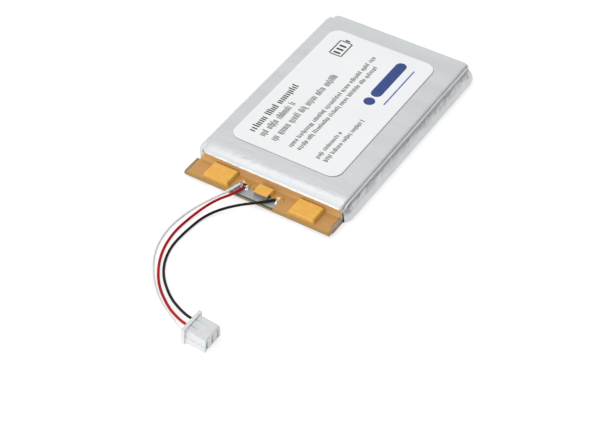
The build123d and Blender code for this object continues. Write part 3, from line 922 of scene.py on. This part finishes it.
def away_from_notch(x, y, near):
    """Point moved onto the opening's outline where it lies within near of it."""
    here = notch_distance(x, y)
    if abs(here) > near:
        return x, y
    step = 0.01
    slope = Vector((notch_distance(x + step, y) - notch_distance(x - step, y),
                    notch_distance(x, y + step) - notch_distance(x, y - step)))
    if slope.length < 1e-6:
        return x, y
    slope.normalize()
    return x - slope.x * here, y - slope.y * here


def front_line(x):
    """Front edge of the tape, rounded off at its two corners."""
    for end, radius in zip(tape_ends, tape_corners):
        short = radius - abs(x - end)
        if short > 0:
            return tape_front + radius - math.sqrt(radius ** 2 - short ** 2)
    return tape_front


def tape_path():
    """Section of the tape from under the board, up its front edge and back to the cup's wall:
    (part, y, z) with the parts named front, flat, ramp and wall."""
    lip = skirt_bottom
    path = [("front", tape_front + 0.4, lip), ("front", tape_front + 0.15, lip)]
    path += [("front", y, z) for y, z in arc((tape_front + under_bend, lip + under_bend), under_bend,
                                             270, 180, 4)]
    path += [("front", tape_front, z) for z in (lip + 0.35, skirt_top - 0.02, skirt_top + 0.02)]
    start = tape_front + front_bend
    path += [("front", y, z) for y, z in arc((start, tape_top - front_bend), front_bend, 180, 90, 4)]
    flat_back = board_high.y - ramp_start
    path += [("flat", start + (flat_back - start) * k / flat_rows, tape_top)
             for k in range(1, flat_rows + 1)]
    wall = cup_front - wall_gap
    ramp_top = tape_top + ramp_rise
    shares = [k / 6 for k in range(1, 7)]
    path += [("ramp", flat_back + (wall - flat_back) * share, tape_top + ramp_rise * share ** ramp_curve)
             for share in shares]
    path += [("wall", wall + wall_lean * share, ramp_top + (tape_high.z - ramp_top) * share)
             for share in shares]
    return path


def tape_point(part, x, y_path, z_path, cell):
    """Place of a point of the tape, and its tint value, with painted shade where no board lies behind
    it.
    """
    remaining = (cup_front - front_line(x)) / (cup_front - tape_front)
    y = cup_front - (cup_front - y_path) * remaining
    bottom = skirt_bottom
    if part == "front":
        squeeze = (tape_top - overhang_drop * past_end(x) - bottom) / (tape_top - bottom)
        on_edge = z_path > skirt_top and x > board_low.x
        # Below the board's edge the tape takes the painted shade of the gap behind it.
        return (x, y, bottom + (z_path - bottom) * squeeze), over_edge if on_edge else gap_painted_shade
    if part == "wall":
        edge = wall_wave * ripple(x, 0, 0.3, 0, 1.0) * max(z_path - wall_wave_start, 0)
        into_corner = max(abs(x) - cup_half + cup_corner, 0)
        behind = cup_corner - math.sqrt(cup_corner ** 2 - min(into_corner, 1.6) ** 2)
        return (x, y + behind, z_path + edge), over_cup
    if part == "ramp":
        fade = 1 - (z_path - tape_top) / ramp_rise
        low = past_end(x)
        over = tape_over(x, y) * max(fade, low) - (z_path - tape_top) * low
        backing_and_painted_light = over_cup + (over_board - over_cup) * fade
        return (x, y, z_path + over), gap_painted_shade if x < board_low.x - overhang_start else backing_and_painted_light
    x, y = away_from_notch(x, y, 0.6 * cell)
    return (x, y, z_path + tape_over(x, y)), tape_backing_and_painted_light(x, y)


def tape_covers(part, x, y, z):
    """Whether there is tape here."""
    if abs(x) > cup_half - 0.1 and part == "wall":
        return False
    if bare_end[0] < x < board_high.x - 0.05 and y > bare_end[1]:
        return False
    return z < skirt_top or notch_distance(x, y) > 0


def tape_mesh():
    """Tape as one sheet, opened at the notch."""
    path = tape_path()
    cell = (tape_ends[1] - tape_ends[0]) / tape_columns
    points, backing_and_painted_light, faces = [], [], []
    for part, y_path, z_path in path:
        for i in range(tape_columns + 1):
            place, value = tape_point(part, tape_ends[0] + cell * i, y_path, z_path, cell)
            points.append(place)
            backing_and_painted_light.append(value)
    for number, corners in enumerate(grid_faces(tape_columns, len(path) - 1)):
        middle = [sum(points[k][axis] for k in corners) / 4 for axis in range(3)]
        if tape_covers(path[number // tape_columns + 1][0], *middle):
            faces.append(corners)
    mesh = mesh_of("amber_tape", points, faces)
    values = mesh.attributes.new("backing_and_painted_light", "FLOAT", "POINT")
    for item, value in zip(values.data, backing_and_painted_light):
        item.value = value
    bare = bmesh.new()
    bare.from_mesh(mesh)
    loose = [point for point in bare.verts if not point.link_faces]
    bmesh.ops.delete(bare, geom=loose, context="VERTS")
    bare.to_mesh(mesh)
    bare.free()
    return mesh


tape_piece = add_piece("amber_tape", tape_mesh(), amber, ["polyimide_tape"])
thicken(tape_piece, tape_sheet)


# ---- solder and tinned planes on the board ------------------------------------------------
foot_spread, foot_height, lump_sink = 0.45, 0.35, 0.02


def solder_lump(name, spot, size, seed):
    """Lump of solder with a ragged, wetted foot."""
    shape = bmesh.new()
    bmesh.ops.create_icosphere(shape, subdivisions=5, radius=1.0)
    for point in shape.verts:
        direction = point.co.normalized()
        rough = 1 + 0.22 * noise.noise(direction * 2.2 + Vector((seed, 0, 0)))
        rough += 0.10 * noise.noise(direction * 5.0 + Vector((0, seed, 0)))
        x, y, z = (along_axis * extent * rough for along_axis, extent in zip(direction, size))
        foot = 1 + foot_spread * smoothstep(1 - abs(z) / foot_height)
        point.co = Vector((spot[0] + x * foot, spot[1] + y * foot, board_top + max(z, -lump_sink))) * MM
    mesh = bpy.data.meshes.new(name)
    shape.to_mesh(mesh)
    shape.free()
    mesh.shade_smooth()
    return add_piece(name, mesh, solder)


# For each lump: its colour of wire, shift from the tape's bump over it, half sizes and seed.
lumps = [
    solder_lump(f"solder_{colour}", (spot_x + shift_x, spot_y + shift_y), size, seed)
    for (spot_x, spot_y), (colour, shift_x, shift_y, size, seed) in zip(solder_spots, (
        ("white", 0, -0.4, (0.6, 0.75, 0.8), 1.0),
        ("red", 0.65, -0.6, (0.7, 0.62, 0.95), 4.0),
        ("black", -0.1, -1.1, (0.55, 0.6, 0.7), 9.0)))
]
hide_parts("solder_joints")

plane_lift, plane_skin = 0.03, 0.028


def tinned_plane(name, middle, half, corner, rim, cells):
    """Flat tinned area on top of the board."""
    height = board_top + plane_lift
    points, faces = rounded_sheet(*half, middle, corner,
                                  [(0, height), (rim, height), (corner, height)], cells)
    add_sheet(name, points, faces, bare_board, plane_skin)


pad_margin = 0.4                  # how far the plane in the notch reaches under the tape
pad_front = board_low.y + 0.22
pad_half = ((notch_right - notch_left) / 2 + pad_margin, 1.75)
pad_middle = ((notch_left + notch_right) / 2, pad_front + pad_half[1])
tinned_plane("board_plane", pad_middle, pad_half, 0.5, 0.2, (30, 8))

end_margin = 0.04
end_plane_half = ((board_high.x - bare_end[0]) / 2 - end_margin,
                  (board_high.y - bare_end[1]) / 2 - end_margin)
end_plane_middle = (board_high.x - end_margin - end_plane_half[0],
                    board_high.y - end_margin - end_plane_half[1])
tinned_plane("board_end_plane", end_plane_middle, end_plane_half, 0.2, 0.1, (4, 16))

# Strip of tape folded over the board's right end, below the bare corner.
wrap_half = ((board_high.y - board_low.y) / 2 - 0.15, (board_high.z - board_low.z) / 2 + 0.1)
wrap_middle = ((board_high.y + board_low.y) / 2, (board_high.z + board_low.z) / 2 - 0.12)
wrap_gap, wrap_wave = 0.09, 0.02
points, faces = rounded_sheet(*wrap_half, wrap_middle, 0.3, [(0, 0), (0.15, 0), (0.3, 0)], (24, 4))
points = [(board_high.x + wrap_gap + wrap_wave * ripple(y, z, 0.5, 0.5, 6.0), y, z)
          for y, z, _ in points]
# It carries no tint value, so it takes the tape's first tint, the painted shade of the gap under the
# tape.
add_sheet("end_wrap", points, faces, amber, tape_sheet)

# ---- stage --------------------------------------------------------------------------------
floor_material = finish_of("floor", (0.5, 0.5, 0.5), (0.52, 0.52, 0.52), 0.9, scale=5,
                           bumps=((400, 0.00001, even),), Emission_Color=(1.0, 1.0, 1.0, 1.0),
                           Emission_Strength=0.62, Specular_IOR_Level=0.1)
floor_reach = 3000
floor_points = [(side_x * floor_reach, side_y * floor_reach, 0)
                for side_x, side_y in ((-1, -1), (1, -1), (1, 1), (-1, 1))]
floor = bpy.data.objects.new("floor", mesh_of("floor", floor_points, [(0, 1, 2, 3)], smooth=False))
floor.data.materials.append(floor_material)
scene.collection.objects.link(floor)

world = bpy.data.worlds.new("studio")
world.use_nodes = True
scene.world = world


def studio_light(made, base, slopes):
    """White surroundings whose brightness grows along the given directions: (direction, gain)."""
    nodes, links = made.node_tree.nodes, made.node_tree.links
    place = nodes.new("ShaderNodeTexCoord")
    total = None
    for direction, gain in slopes:
        facing = nodes.new("ShaderNodeVectorMath")
        facing.operation = "DOT_PRODUCT"
        facing.inputs[1].default_value = Vector(direction).normalized()
        links.new(place.outputs["Generated"], facing.inputs[0])
        reach = nodes.new("ShaderNodeMapRange")
        reach.interpolation_type = "SMOOTHSTEP"
        reach.inputs["From Min"].default_value = 0.0
        reach.inputs["From Max"].default_value = 1.0
        reach.inputs["To Min"].default_value = 0.0
        reach.inputs["To Max"].default_value = gain
        links.new(facing.outputs["Value"], reach.inputs["Value"])
        add = nodes.new("ShaderNodeMath")
        add.operation = "ADD"
        add.inputs[0].default_value = base
        if total is not None:
            links.new(total, add.inputs[0])
        links.new(reach.outputs["Result"], add.inputs[1])
        total = add.outputs["Value"]
    nodes["Background"].inputs["Color"].default_value = (1.0, 1.0, 1.0, 1.0)
    links.new(total, nodes["Background"].inputs["Strength"])


studio_light(world, 0.78, [((-0.38, -0.69, 0.4), 0.49), ((-0.38, 0.61, 0.69), 0.2),
                           ((1.0, 0.1, 0.3), -0.58)])


def softbox(name, place, size, power):
    """Square area light that looks at the cell."""
    data = bpy.data.lights.new(name, "AREA")
    data.size = size
    data.energy = power
    light = bpy.data.objects.new(name, data)
    light.location = place
    light.rotation_mode = "QUATERNION"
    light.rotation_quaternion = (-Vector(place)).to_track_quat("-Z", "Y")
    scene.collection.objects.link(light)


softbox("front_light", (-0.25, -0.7, 0.55), 0.2, 0.8)
softbox("top_light", (-0.3, 0.2, 1.0), 0.6, 0.6)
scene.view_settings.view_transform = "Standard"
